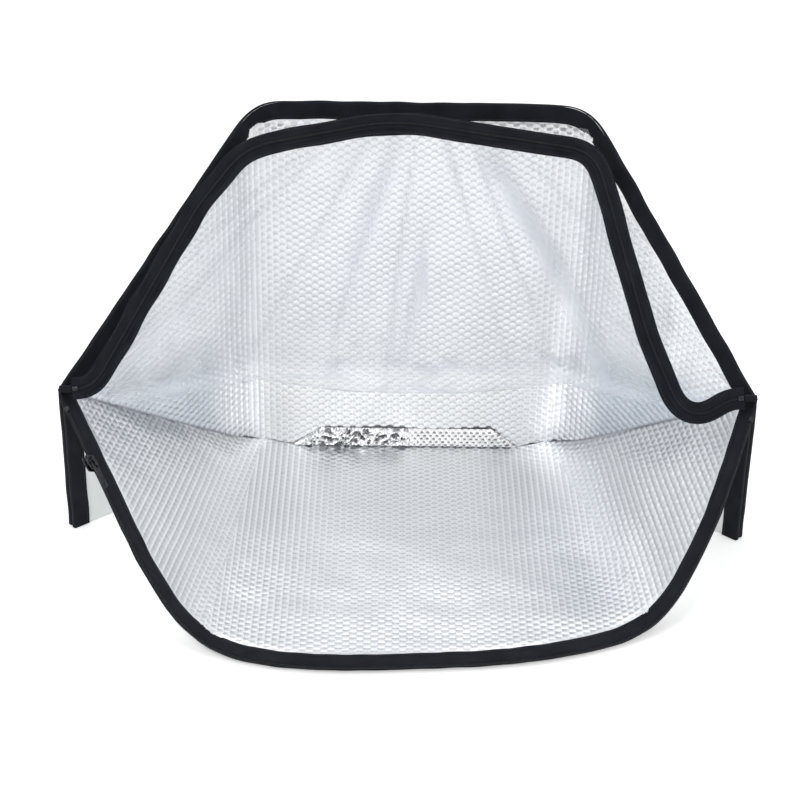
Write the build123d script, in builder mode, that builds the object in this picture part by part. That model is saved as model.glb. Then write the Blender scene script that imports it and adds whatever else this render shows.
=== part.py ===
from build123d import *
from math import cos, degrees, atan2, radians, sin
import os

os.makedirs("parts", exist_ok=True)

# A portable solar oven folded from one octagonal sheet of foil insulation.
# The sheet makes a floor, a back wall, two wings, two base flaps and two
# pinched corner gussets. A clear cover is sewn to the back rim and zips
# to the base rim. Millimetres, +Z up, origin on the ground below the middle
# of the floor, the open side towards -Y.

# The folded sheet
fold_half = 160.0            # half length of the fold between floor and wall
wall_height = 408.0
wall_top_left = 157.0
wall_top_right = 177.0
corner_half = 347.0          # half distance between the two pinched corners
corner_rise = 160.0          # height of the pinched corners
front_half_left = 200.0
front_half_right = 254.0
front_depth_left = 402.0
front_depth_right = 372.0
front_radius_left = 283.0
front_radius_right = 400.0
top_radius = 65.0
origin_depth = 195.0         # distance from the fold line to the origin
foil_thickness = 3.0
cloth_thickness = 1.0

# What is sewn to the sheet
binding_width = 17.0
binding_thickness = 1.2
patch_thickness = 1.5
patch_width = 22.0
patch_length = 60.0
patch_height = 68.0          # height of the patch's middle up the pinched edge
strip_thickness = 0.6
strip_height = 24.0
strip_foot = 240.0
strip_head = 170.0
seat_gap = 0.3               # room between soft pieces that touch

# Zip half on the base rim
tape_thickness = 1.0
tape_width = 12.0
tape_proud = 3.0             # how far the tape stands out of the rim
coil_width = 3.0
coil_height = 2.4
zip_start = 26.0             # distance of the zip's ends from the corners
stop_length = 5.0
stop_wall = 1.0

# Slider and pull tab
run_gap = 0.35               # running clearance of the slider and the tab
slider_length = 16.0
slider_plate = 1.6
slider_lip = 1.0
post_width = 3.0
post_length = 6.0
slider_park = 90.0           # distance of the parked slider from the corner
bridge_wall = 1.6
bridge_width = 3.0
bridge_length = 12.0
pull_bar = 1.6               # diameter of the tab's cross bar
pull_width = 9.0
pull_length = 32.0
pull_eye = 4.0               # diameter of the hole at the tab's free end

# Cover edge: the bound zip tape round the free edge of the clear film
cover_lean = 60.0            # slope of the raised cover edge, in degrees
cover_axis_lift = 11.0       # how far the swing axis stands off the corners
edge_width = 22.0
edge_thickness = 3.0
edge_joint = 100.0           # half distance between the joints of the three runs
cover_tape_width = 10.0
stop_inset = 1.0             # distance of the cover's end stops from the edge's ends
tab_radius = 3.5
tab_length = 13.0            # from a pinched corner to the cover edge's end

# Bends of the cover edge: share of its half length, height up its slope, radius
edge_bends = (
    (-0.940, 0.0, 22.0),
    (-0.635, 182.0, 150.0),
    (-0.494, 242.0, 60.0),
    (-0.060, 271.0, 200.0),
    (0.545, 243.0, 35.0),
    (0.707, 62.0, 120.0),
    (0.835, -33.0, 26.0),
    (0.955, 0.0, 20.0),
)

# Clear film, in one hanging loop from the back rim to the cover edge
film_thickness = 0.8
film_tuck = 12.0             # how far below the rim's top the film starts
film_lap = 5.0               # how far the film laps under the cover edge
loop_low_middle = 112.0
loop_low_side = 150.0
loop_width_middle = 44.0
loop_width_side = 9.0
film_places = (-0.898, -0.772, -0.641, -0.251, 0.0, 0.269, 0.449, 0.527, 0.665, 0.784)

sheet_thickness = foil_thickness + cloth_thickness
solids = []


def place(x, forward, z):
    """A point in front of the fold line and above the floor's underside."""
    return Vector(x, origin_depth - forward, z + binding_thickness)


def flat(plane, point):
    """A point of space in a plane's own two coordinates."""
    local = plane.to_local_coords(point)
    return (local.X, local.Y)


def facing(plane, target):
    """The plane, turned over if its normal points away from the target."""
    if (target - plane.origin).dot(plane.z_dir) < 0:
        return Plane(origin=plane.origin, x_dir=plane.x_dir, z_dir=-plane.z_dir)
    return plane


def panel_plane(first, second, third, inside):
    """Plane through three corners of a panel, its normal on the foil side."""
    along = (second - first).normalized()
    normal = along.cross(third - first).normalized()
    return facing(Plane(origin=first, x_dir=along, z_dir=normal), inside)


def finish_piece(piece, name):
    """Label a finished piece and write it to its own file."""
    piece.part.label = name
    export_step(piece.part, f"parts/{name}.step")
    solids.append(piece.part)


# Corners of the folded sheet
oven_middle = place(0, origin_depth, wall_height / 2)


def corners(side, top_half, front_half, front_depth):
    """The named corners of one side, 1 on the right and -1 on the left."""
    return {
        "fold": place(side * fold_half, 0, sheet_thickness),
        "heel": place(side * fold_half, 0, 0),
        "top": place(side * top_half, 0, wall_height),
        "corner": place(side * corner_half, corner_rise - sheet_thickness, corner_rise),
        "front": place(side * front_half, front_depth, sheet_thickness),
    }


right = corners(1, wall_top_right, front_half_right, front_depth_right)
left = corners(-1, wall_top_left, front_half_left, front_depth_left)
sides = {"right": right, "left": left}

ground = Plane.XY
floor_plane = Plane(origin=place(0, 0, sheet_thickness))
wall_plane = panel_plane(left["fold"], right["fold"], right["top"], oven_middle)
wing_plane = {}
flap_plane = {}
for name, at in sides.items():
    wing_plane[name] = panel_plane(at["fold"], at["corner"], at["top"], oven_middle)
    flap_plane[name] = panel_plane(at["fold"], at["corner"], at["front"], oven_middle)
    # The pinched edge comes down in the wing's plane and stands on the ground
    normal = wing_plane[name].z_dir
    reach = at["corner"].X - at["fold"].X
    sink = (normal.X * reach - normal.Z * at["fold"].Z) / normal.Y
    at["foot"] = Vector(at["corner"].X, at["fold"].Y - sink, 0)


# Rounded corners at the front and the top, each of them folded across a crease
def round_corner(at, other, end, radius):
    """Where a rounded corner starts on its two edges and meets the crease."""
    point = at[end]
    along_end = (other[end] - point).normalized()
    along_side = (at["corner"] - point).normalized()
    along_crease = (at["fold"] - point).normalized()
    turn_side = radians(along_crease.get_angle(along_side))
    half_turn = (turn_side + radians(along_crease.get_angle(along_end))) / 2
    centre = radius / sin(half_turn)
    swing = half_turn - turn_side
    crossing = centre * cos(swing) - (radius**2 - (centre * sin(swing)) ** 2) ** 0.5
    at[f"{end}_start"] = point + along_end * (radius * cos(half_turn) / sin(half_turn))
    at[f"{end}_side"] = point + along_side * (radius * cos(half_turn) / sin(half_turn))
    at[f"{end}_crossing"] = point + along_crease * crossing


round_corner(right, left, "front", front_radius_right)
round_corner(left, right, "front", front_radius_left)
round_corner(right, left, "top", top_radius)
round_corner(left, right, "top", top_radius)


def draw_end_edge(plane, end):
    """Front edge of the floor or top edge of the wall, from crease to crease."""
    begin, finish = flat(plane, left[f"{end}_start"]), flat(plane, right[f"{end}_start"])
    run = Vector(*finish) - Vector(*begin)
    TangentArc(begin, flat(plane, left[f"{end}_crossing"]), tangent=-run)
    Line(begin, finish)
    TangentArc(finish, flat(plane, right[f"{end}_crossing"]), tangent=run)


def draw_side_edge(plane, at, start, end):
    """Edge of a base flap or a wing, from a point near the corner to the crease."""
    begin, finish = flat(plane, start), flat(plane, at[f"{end}_side"])
    Line(begin, finish)
    TangentArc(finish, flat(plane, at[f"{end}_crossing"]), tangent=Vector(*finish) - Vector(*begin))


def panel(name, plane, draw_outline, cuts=()):
    """Foil lining and outer cloth of one flat panel of the sheet."""
    layers = (
        (f"{name}_foil_lining", 0, foil_thickness),
        (f"{name}_outer_cloth", foil_thickness, cloth_thickness),
    )
    for layer_name, depth, thickness in layers:
        with BuildPart() as layer:
            with BuildSketch(plane.offset(-depth)):
                with BuildLine():
                    draw_outline(plane)
                make_face()
            extrude(amount=-thickness)
            for cut in cuts:
                split(bisect_by=cut, keep=Keep.TOP)
        finish_piece(layer, layer_name)


# Floor and back wall
def floor_outline(plane):
    draw_end_edge(plane, "front")
    Polyline(*(flat(plane, p) for p in (
        left["front_crossing"], left["fold"], right["fold"], right["front_crossing"])))


def wall_outline(plane):
    draw_end_edge(plane, "top")
    Polyline(*(flat(plane, p) for p in (
        left["top_crossing"], left["fold"], right["fold"], right["top_crossing"])))


panel("floor", floor_plane, floor_outline)
panel("back_wall", wall_plane, wall_outline)

# Crumpled foil strip over the fold, at the foot of the back wall
with BuildPart() as fold_strip:
    with BuildSketch(Plane(origin=place(0, 0, sheet_thickness), x_dir=(1, 0, 0), z_dir=(0, -1, 0))):
        with Locations((0, strip_height / 2)):
            Trapezoid(strip_foot, strip_height, degrees(atan2(2 * strip_height, strip_foot - strip_head)))
    extrude(amount=strip_thickness)
finish_piece(fold_strip, "fold_foil_strip")

# Wings, each with the back leaf of its gusset in the same plane, and base flaps
for name, at in sides.items():
    def wing_outline(plane):
        draw_side_edge(plane, at, at["corner"], "top")
        Polyline(*(flat(plane, at[k]) for k in ("top_crossing", "heel", "foot", "corner")))

    def flap_outline(plane):
        draw_side_edge(plane, at, at["corner"], "front")
        Polyline(*(flat(plane, at[k]) for k in ("front_crossing", "fold", "corner")))

    # The wing starts where the floor ends
    floor_end = facing(Plane(origin=at["heel"], x_dir=(0, 1, 0), z_dir=(1, 0, 0)), at["corner"])
    panel(f"{name}_wing", wing_plane[name], wing_outline, cuts=[floor_end, ground])
    clear_of_binding = wing_plane[name].offset(binding_thickness)
    panel(f"{name}_flap", flap_plane[name], flap_outline, cuts=[clear_of_binding])


# Front leaves of the gussets, and the patches that hold each gusset shut
leaf_step = 2 * patch_thickness
flap_underside = sheet_thickness + binding_thickness + seat_gap
leaf_plane = {}
leaf_roof = {}
for name, at in sides.items():
    wing = wing_plane[name]
    flap = flap_plane[name]
    leaf = wing.offset(leaf_step)
    # The leaf's foil face looks back at the wing
    leaf_plane[name] = Plane(origin=leaf.origin, x_dir=leaf.x_dir, z_dir=-leaf.z_dir)
    roof = flap.offset(-flap_underside)
    leaf_roof[name] = Plane(origin=roof.origin, x_dir=roof.x_dir, z_dir=-roof.z_dir)
    step = wing.z_dir * leaf_step

    def leaf_outline(plane):
        Polyline(*(flat(plane, at[k] + step) for k in ("heel", "foot", "corner")), close=True)

    panel(f"{name}_leaf", leaf_plane[name], leaf_outline, cuts=[leaf_roof[name], ground])

    leg = (at["corner"] - at["foot"]).normalized()
    inward = at["fold"] - at["foot"]
    inward = (inward - leg * inward.dot(leg)).normalized()
    middle = at["foot"] + leg * patch_height + inward * (binding_width + patch_width / 2 + seat_gap)
    for piece, lift in (("hook_patch", 0), ("loop_patch", patch_thickness)):
        spot = Plane(origin=middle + wing.z_dir * lift, x_dir=inward, z_dir=wing.z_dir)
        with BuildPart() as patch:
            with BuildSketch(spot):
                RectangleRounded(patch_width, patch_length, patch_width / 8)
            extrude(amount=patch_thickness)
        finish_piece(patch, f"{name}_corner_{piece}")


# Binding tape, folded over the edge of the sheet
def edge_frame(start, end, plane):
    """Plane across an edge: x out of the panel, y up the foil side."""
    along = (end - start).normalized()
    return Plane(origin=start, x_dir=plane.z_dir.cross(along), z_dir=along)


def binding_profile():
    """Cross-section of the folded tape, open towards the panel."""
    over = sheet_thickness + 2 * binding_thickness
    deep = binding_width + binding_thickness
    with Locations((binding_thickness - deep / 2, binding_thickness - over / 2)):
        Rectangle(deep, over)
    with Locations((-binding_width / 2, -sheet_thickness / 2)):
        Rectangle(binding_width, sheet_thickness, mode=Mode.SUBTRACT)


def crease_cut(at_point, crease, plane_a, plane_b, keep_point):
    """Plane along a crease, halfway between its two panels."""
    halfway = (plane_a.z_dir + plane_b.z_dir).normalized()
    return facing(Plane(origin=at_point, x_dir=halfway, z_dir=halfway.cross(crease)), keep_point)


def corner_cut(at_point, toward_a, toward_b, plane, keep_point):
    """Plane that halves the corner of one panel, between two of its edges."""
    halfway = (toward_a.normalized() + toward_b.normalized()).normalized()
    return facing(Plane(origin=at_point, x_dir=halfway, z_dir=halfway.cross(plane.z_dir)), keep_point)


def straight_binding(name, start, end, plane, cuts):
    """Binding along a straight edge, its ends trimmed by the cuts."""
    along = (end - start).normalized()
    spare = 2 * binding_width
    with BuildPart() as tape:
        with BuildSketch(edge_frame(start - along * spare, end, plane)):
            binding_profile()
        extrude(amount=(end - start).length + 2 * spare)
        for cut in cuts:
            split(bisect_by=cut, keep=Keep.TOP)
    finish_piece(tape, name)


def rim_sweep(name, plane, draw_path, inside, profile, cuts):
    """A profile carried along a stretch of rim, square to its path."""
    with BuildPart() as piece:
        with BuildLine() as path:
            draw_path()
        wire = path.wire().moved(plane.location)
        outward = plane.z_dir.cross(wire % 0)
        if outward.dot(inside - wire @ 0) > 0:
            outward = -outward
        with BuildSketch(Plane(origin=wire @ 0, x_dir=outward, z_dir=outward.cross(plane.z_dir))):
            profile()
        sweep(path=wire)
        for cut in cuts:
            split(bisect_by=cut, keep=Keep.TOP)
    finish_piece(piece, name)


wall_middle = (left["fold"] + right["top"]) * 0.5
top_cuts = []
for name, at in sides.items():
    crease = at["top"] - at["fold"]
    top_cuts.append(crease_cut(at["top_crossing"], crease, wall_plane, wing_plane[name], wall_middle))
rim_sweep(
    "back_rim_top_binding", wall_plane, lambda: draw_end_edge(wall_plane, "top"),
    wall_middle, binding_profile, top_cuts)

for name, at in sides.items():
    wing = wing_plane[name]
    slope_middle = (at["top"] + at["corner"]) * 0.5
    leg_middle = (at["corner"] + at["foot"]) * 0.5
    crease = at["top"] - at["fold"]
    to_top = at["top"] - at["corner"]
    to_foot = at["foot"] - at["corner"]
    slope_cuts = [
        crease_cut(at["top_crossing"], crease, wall_plane, wing, slope_middle),
        corner_cut(at["corner"], to_top, to_foot, wing, slope_middle),
    ]
    slope_start = at["corner"] - to_top.normalized() * (2 * binding_width)
    rim_sweep(
        f"{name}_back_rim_binding", wing, lambda: draw_side_edge(wing, at, slope_start, "top"),
        at["fold"], binding_profile, slope_cuts)
    leg_cuts = [corner_cut(at["corner"], to_top, to_foot, wing, leg_middle), ground]
    step = wing.z_dir * leaf_step
    leg_ends = (at["foot"], at["corner"]) if name == "left" else (at["corner"], at["foot"])
    leaf_ends = (leg_ends[1] + step, leg_ends[0] + step)
    straight_binding(f"{name}_leg_back_binding", *leg_ends, wing, leg_cuts)
    straight_binding(
        f"{name}_leg_front_binding", *leaf_ends, leaf_plane[name], [leaf_roof[name], ground])

# Binding and zip half of the base rim
base_rise = binding_thickness + tape_thickness / 2


def tape_profile():
    """Cross-section of the zip tape, on the foil side of the binding."""
    with Locations((tape_proud - tape_width / 2, base_rise)):
        Rectangle(tape_width, tape_thickness)


def coil_profile():
    """Cross-section of the zip coil, against the tape's outer edge."""
    with Locations((tape_proud + coil_width / 2, base_rise)):
        Rectangle(coil_width, coil_height)


rim_layers = (
    ("binding", binding_profile),
    ("zip_tape", tape_profile),
    ("zip_coil", coil_profile),
)
floor_middle = (left["fold"] + right["front"]) * 0.5
front_cuts = []
for name, at in sides.items():
    crease = at["front"] - at["fold"]
    front_cuts.append(
        crease_cut(at["front_crossing"], crease, floor_plane, flap_plane[name], floor_middle))
for layer, profile in rim_layers:
    rim_sweep(
        f"base_rim_front_{layer}", floor_plane, lambda: draw_end_edge(floor_plane, "front"),
        floor_middle, profile, front_cuts)

for name, at in sides.items():
    flap = flap_plane[name]
    downhill = (at["front_side"] - at["corner"]).normalized()
    crease = at["front"] - at["fold"]
    side_cut = crease_cut(at["front_crossing"], crease, floor_plane, flap, at["corner"])
    corner_face = wing_plane[name].offset(binding_thickness + seat_gap)
    starts = {
        "binding": at["corner"] - downhill * (2 * binding_width),
        "zip_tape": at["corner"] + downhill * (zip_start - stop_length),
        "zip_coil": at["corner"] + downhill * zip_start,
    }
    for layer, profile in rim_layers:
        rim_sweep(
            f"base_rim_{name}_{layer}", flap,
            lambda: draw_side_edge(flap, at, starts[layer], "front"),
            at["fold"], profile, [side_cut, corner_face])


def rim_frame(name, distance):
    """Frame on a base flap's edge: x out of the flap, y up its foil side."""
    at = sides[name]
    downhill = (at["front_side"] - at["corner"]).normalized()
    normal = flap_plane[name].z_dir
    outward = normal.cross(downhill)
    if outward.dot(at["fold"] - at["corner"]) > 0:
        outward = -outward
    return Plane(
        origin=at["corner"] + downhill * distance, x_dir=outward, z_dir=outward.cross(normal))


# Stops crimped on at the two ends of the base zip
with BuildPart() as base_stops:
    for name in sides:
        with BuildPart(rim_frame(name, zip_start - stop_length / 2), mode=Mode.PRIVATE) as stop:
            with Locations((tape_proud + coil_width / 2, base_rise, 0)):
                Box(coil_width, coil_height + 2 * stop_wall, stop_length)
        add(stop.part)
finish_piece(base_stops, "base_zip_end_stops")

# Slider: two plates round a wedge, with lips that hold the coil, and a bridge
channel = coil_height + 2 * run_gap
post_out = tape_proud + coil_width + run_gap + post_width / 2
slider_half = post_out - binding_thickness - run_gap
plate_top = base_rise + channel / 2 + slider_plate
bar_up = plate_top + run_gap + pull_bar / 2
bridge_room = pull_bar + 2 * run_gap
bridge_top = plate_top + bridge_room + bridge_wall
lip_height = (channel - tape_thickness) / 2 - run_gap
slider_frame = rim_frame("left", slider_park)
with BuildPart(slider_frame) as slider:
    for level in (-1, 1):
        with Locations((post_out, base_rise + level * (channel + slider_plate) / 2, 0)):
            Box(2 * slider_half, slider_plate, slider_length)
        lip_level = base_rise + level * (channel - lip_height) / 2
        for edge in (-1, 1):
            with Locations((post_out + edge * (slider_half - slider_lip / 2), lip_level, 0)):
                Box(slider_lip, lip_height, slider_length)
    with Locations((post_out, base_rise, (slider_length - post_length) / 2)):
        Box(post_width, channel, post_length)
    for end in (-1, 1):
        with Locations((post_out, plate_top + bridge_room / 2, end * (bridge_length - bridge_wall) / 2)):
            Box(bridge_width, bridge_room, bridge_wall)
    with Locations((post_out, bridge_top - bridge_wall / 2, 0)):
        Box(bridge_width, bridge_wall, bridge_length)
finish_piece(slider, "zip_slider")

# Pull tab, hung by its cross bar under the slider's bridge
eye_end = ((bridge_length / 2) ** 2 + (bridge_top - bar_up) ** 2) ** 0.5 + run_gap
slot_width = bridge_width + 2 * run_gap
plate_length = pull_length - eye_end
with BuildPart(slider_frame) as pull:
    with Locations((post_out, bar_up, -(eye_end + plate_length / 2))):
        Box(pull_width, pull_bar, plate_length)
    for edge in (-1, 1):
        with Locations((post_out + edge * (pull_width + slot_width) / 4, bar_up, -eye_end / 2)):
            Box((pull_width - slot_width) / 2, pull_bar, eye_end)
    with Locations(Location((post_out, bar_up, 0), (0, 90, 0))):
        Cylinder(pull_bar / 2, pull_width)
    with Locations(Location((post_out, bar_up, -(pull_length - pull_width / 2)), (90, 0, 0))):
        Cylinder(pull_eye / 2, 2 * pull_bar, mode=Mode.SUBTRACT)
finish_piece(pull, "zip_pull_tab")

# Swing axis of the cover, a little off the line through the two corners
corner_middle = (left["corner"] + right["corner"]) * 0.5
up_back = ((left["top"] + right["top"]) * 0.5 - corner_middle)
down_front = ((left["front"] + right["front"]) * 0.5 - corner_middle)
up_back = Vector(0, up_back.Y, up_back.Z).normalized()
down_front = Vector(0, down_front.Y, down_front.Z).normalized()
lift = (up_back + down_front).normalized()
axis_middle = Vector(0, corner_middle.Y, corner_middle.Z) + lift * cover_axis_lift
lean = radians(cover_lean)
cover_plane = Plane(origin=axis_middle, x_dir=(1, 0, 0), z_dir=(0, -sin(lean), cos(lean)))

# Rolled corner tabs that tie the ends of the cover edge to the corners
web = cover_axis_lift - 2 * binding_thickness
for name, at in sides.items():
    side = 1 if name == "right" else -1
    with BuildPart() as tab:
        with BuildSketch(Plane(origin=axis_middle + Vector(side * corner_half, 0, 0),
                               x_dir=lift, z_dir=(-side, 0, 0))):
            Circle(tab_radius)
            with Locations((-web / 2, 0)):
                Rectangle(web, tab_radius)
        extrude(amount=tab_length - seat_gap)
    finish_piece(tab, f"{name}_corner_tab")

# Free edge of the cover, in three runs, with its zip half on the front face
edge_half = corner_half - tab_length
edge_points = [(-edge_half, 0.0)] + [(share * edge_half, s) for share, s, bend in edge_bends]
edge_points.append((edge_half, 0.0))
edge_radii = [bend for share, s, bend in edge_bends]


def draw_cover_edge():
    FilletPolyline(*edge_points, radius=edge_radii)


def edge_profile():
    Rectangle(edge_width, edge_thickness)


def cover_tape_profile():
    with Locations((0, (edge_thickness + tape_thickness) / 2)):
        Rectangle(cover_tape_width, tape_thickness)


def cover_coil_profile():
    with Locations((0, edge_thickness / 2 + tape_thickness + coil_height / 2)):
        Rectangle(coil_width, coil_height)


def joint_cut(x, keep_side):
    """Upright plane across the cover edge that keeps one side."""
    return Plane(origin=(x, 0, 0), x_dir=(0, 1, 0), z_dir=(keep_side, 0, 0))


edge_runs = (
    ("left", [joint_cut(-edge_joint, -1)]),
    ("top", [joint_cut(-edge_joint, 1), joint_cut(edge_joint, -1)]),
    ("right", [joint_cut(edge_joint, 1)]),
)
for run, cuts in edge_runs:
    rim_sweep(f"cover_edge_{run}", cover_plane, draw_cover_edge, axis_middle, edge_profile, cuts)
coil_end = edge_half - stop_inset - stop_length
coil_cuts = [joint_cut(-coil_end, 1), joint_cut(coil_end, -1)]
rim_sweep("cover_zip_tape", cover_plane, draw_cover_edge, axis_middle, cover_tape_profile, [])
rim_sweep("cover_zip_coil", cover_plane, draw_cover_edge, axis_middle, cover_coil_profile, coil_cuts)
stop_level = edge_thickness / 2 + tape_thickness + coil_height / 2
with BuildPart(cover_plane) as cover_stops:
    for end in (-1, 1):
        with Locations((end * (coil_end + stop_length / 2), 0, stop_level)):
            Box(stop_length, coil_width + 2 * stop_wall, coil_height)
finish_piece(cover_stops, "cover_zip_end_stops")


# Clear film: down from the back rim in front of the wall, round, and up to the edge
def lerp(a, b, share):
    return a + (b - a) * share


def surface_forward(at, x, z):
    """How far in front of the fold line the wall or wing stands at a height."""
    wing = wing_plane["right" if x >= 0 else "left"]
    n, start = wing.z_dir, at["fold"]
    wing_y = start.Y - (n.X * (x - start.X) + n.Z * (z - start.Z)) / n.Y
    return max(0, origin_depth - wing_y)


def edge_reach(x):
    """Slope distance of the film's upper edge under the cover edge."""
    for (x1, s1), (x2, s2) in zip(edge_points, edge_points[1:]):
        if x1 <= x <= x2:
            run = ((x2 - x1) ** 2 + (s2 - s1) ** 2) ** 0.5
            inset = (edge_width / 2 - film_lap) * run / (x2 - x1)
            return lerp(s1, s2, (x - x1) / (x2 - x1)) - inset


def film_section(x):
    """Closed section of the hanging film in the plane of one x."""
    at = right if x >= 0 else left
    top_half, half = abs(at["top"].X), abs(x)
    down = max(0, (half - top_half) / (corner_half - top_half))
    rim_z = lerp(wall_height, corner_rise, down) - film_tuck
    spread = min(1, half / corner_half)
    low_z = lerp(loop_low_middle, loop_low_side, spread**2)
    width = lerp(loop_width_middle, loop_width_side, spread**2)
    off = (binding_thickness + 2 * seat_gap) / abs(wing_plane["right"].z_dir.Y)
    back_top = surface_forward(at, x, rim_z) + off
    back_low = surface_forward(at, x, low_z) + off
    reach = edge_reach(x)
    hang = cover_plane.origin + cover_plane.y_dir * reach
    hang = hang - cover_plane.z_dir * (edge_thickness / 2 + seat_gap)
    front_top, front_z = origin_depth - hang.Y - film_thickness, hang.Z
    front_low = back_low + width
    middle = (back_low + front_low) / 2
    t = film_thickness
    with BuildSketch(Plane(origin=(x, origin_depth, 0), x_dir=(0, -1, 0), z_dir=(-1, 0, 0))) as cut:
        with BuildLine():
            Line((back_top, rim_z), (back_low, low_z))
            ThreePointArc((back_low, low_z), (middle, low_z - width / 2), (front_low, low_z))
            Line((front_low, low_z), (front_top, front_z))
            Line((front_top, front_z), (front_top - t, front_z))
            Line((front_top - t, front_z), (front_low - t, low_z))
            ThreePointArc(
                (front_low - t, low_z), (middle, low_z - width / 2 + t), (back_low + t, low_z))
            Line((back_low + t, low_z), (back_top + t, rim_z))
            Line((back_top + t, rim_z), (back_top, rim_z))
        make_face()
    return cut.sketch


film_stations = [-wall_top_left, wall_top_right] + [share * edge_half for share in film_places]
with BuildPart() as film:
    for x in sorted(film_stations):
        add(film_section(x))
    loft(ruled=True)
finish_piece(film, "clear_cover_film")

closing = degrees(atan2(down_front.Z, down_front.Y)) % 360 - cover_lean
travel = (left["front_side"] - left["corner"]).length - slider_park - slider_length / 2
print("solids", len(solids))
print("cover axis", axis_middle, "closing swing", round(closing, 2))
print("slider frame origin", slider_frame.origin, "x", slider_frame.x_dir, "z", slider_frame.z_dir)
print("slider travel", round(travel, 1))
pivot = slider_frame.from_local_coords(Vector(post_out, bar_up, 0))
print("pull pivot", pivot)
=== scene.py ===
import bmesh
import bpy
import math
import numpy as np
from mathutils import Matrix, Vector


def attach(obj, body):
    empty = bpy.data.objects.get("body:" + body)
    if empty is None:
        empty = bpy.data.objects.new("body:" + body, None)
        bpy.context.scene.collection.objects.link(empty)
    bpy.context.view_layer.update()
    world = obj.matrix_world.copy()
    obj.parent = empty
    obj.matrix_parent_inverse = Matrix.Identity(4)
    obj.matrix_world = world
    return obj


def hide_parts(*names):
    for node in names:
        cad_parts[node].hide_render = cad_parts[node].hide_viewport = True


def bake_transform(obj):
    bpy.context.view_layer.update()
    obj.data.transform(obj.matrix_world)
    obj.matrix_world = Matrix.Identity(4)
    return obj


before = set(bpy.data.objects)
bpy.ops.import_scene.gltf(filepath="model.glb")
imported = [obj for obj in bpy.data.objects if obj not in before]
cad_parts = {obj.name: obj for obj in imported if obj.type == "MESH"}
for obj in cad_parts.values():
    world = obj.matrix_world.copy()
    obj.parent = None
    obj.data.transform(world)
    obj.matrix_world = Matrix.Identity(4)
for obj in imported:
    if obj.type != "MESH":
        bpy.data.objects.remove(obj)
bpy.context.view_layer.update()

# Camera
# A long lens a little over 1.7 m in front of the oven and above it, looking down
# into the open base as the photograph does.
view_yaw, view_pitch, view_roll = math.radians(0.59), math.radians(30.69), math.radians(1.08)
looking = Vector((math.sin(view_yaw) * math.cos(view_pitch),
                  math.cos(view_yaw) * math.cos(view_pitch), -math.sin(view_pitch)))
level = Vector((math.cos(view_yaw), -math.sin(view_yaw), 0))
upright = level.cross(looking)
to_right = level * math.cos(view_roll) + upright * math.sin(view_roll)
to_top = upright * math.cos(view_roll) - level * math.sin(view_roll)
camera = bpy.data.objects.new("view_camera", bpy.data.cameras.new("view_camera"))
camera.data.lens = 90
camera.data.sensor_width = 36
camera.matrix_world = Matrix((to_right, to_top, -looking)).transposed().to_4x4()
camera.location = (-0.026, -1.682, 1.1782)
bpy.context.scene.collection.objects.link(camera)
bpy.context.scene.camera = camera

# Floor panel
# The middle of the octagonal sheet: bubble foil on the inside and a pale woven
# cloth outside, lying flat on the ground with rounded front corners.
bubble_across, bubble_along = 0.0068, 0.0080
foil_step, cloth_step = bubble_across / 5, 0.007
sheet_depth = 0.004
sheet_top = 0.0052
ribbon = 0.017
sharp_crease, side_crease, soft_crease = 0.003, 0.020, 0.048
fold_half, wall_plane, wall_top = 0.160, 0.195, 0.4092
corner_out, corner_back, corner_high = 0.347, 0.039, 0.1612
fold_left, fold_right = (Vector((x, wall_plane, sheet_top)) for x in (-fold_half, fold_half))
top_left, top_right = (Vector((x, wall_plane, wall_top)) for x in (-0.157, 0.177))
tip_left, tip_right = (Vector((x, corner_back, corner_high)) for x in (-corner_out, corner_out))
front_left, front_right = Vector((-0.200, -0.207, sheet_top)), Vector((0.254, -0.177, sheet_top))


def mesh_piece(name, points, faces, uvs=None):
    """A smooth mesh object, with each vertex's place on the flat cloth as its UV."""
    mesh = bpy.data.meshes.new(name)
    mesh.from_pydata([tuple(p) for p in points], [], [tuple(int(i) for i in f) for f in faces])
    if uvs is not None:
        corner = np.empty(len(mesh.loops), dtype=np.int32)
        mesh.loops.foreach_get("vertex_index", corner)
        layer = mesh.uv_layers.new(name="cloth")
        layer.data.foreach_set("uv", np.asarray(uvs, dtype=np.float32)[corner].ravel())
    mesh.shade_smooth()
    piece = bpy.data.objects.new(name, mesh)
    bpy.context.scene.collection.objects.link(piece)
    return piece


def grid_faces(rows, columns):
    """Squares between the points of a grid."""
    first = (np.arange(rows - 1)[:, None] * columns + np.arange(columns - 1)[None, :]).ravel()
    return np.stack((first, first + columns, first + columns + 1, first + 1), 1)


def mark(piece, label, values):
    """Write a value at each point of a piece, for its material to read."""
    attribute = piece.data.attributes.new(label, "FLOAT", "POINT")
    attribute.data.foreach_set("value", values.ravel().astype(np.float32))


def sheet_waves(u, v, seed, wavelength, count=9):
    """Soft random hollows and swells over a sheet, about one unit high."""
    dice = np.random.default_rng(seed)
    total = np.zeros_like(u)
    for _ in range(count):
        turn, shift = dice.uniform(0, 2 * math.pi, 2)
        length = wavelength * dice.uniform(0.7, 1.6)
        total += np.sin((u * math.cos(turn) + v * math.sin(turn)) * 2 * math.pi / length + shift)
    return total / math.sqrt(count)


def bubble_relief(u, v):
    """Rows of flattened bubbles, staggered, between straight raised seams."""
    column = np.floor(u / bubble_across + 1e-6)
    across = u / bubble_across - column - 0.5
    along = np.mod(v / bubble_along + 0.5 * np.mod(column, 2), 1) - 0.5
    dome = np.sqrt(np.clip(1 - (across / 0.44) ** 2 - (along / 0.48) ** 2, 0, 1))
    seam = np.clip((np.abs(across) - 0.36) / 0.12, 0, 1)
    dome_height, seam_height = 0.0009, 0.0007
    return dome_height * dome + seam_height * seam


def flat_cloth(u, v):
    """No relief: the smooth outer cloth."""
    return 0 * u


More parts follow.
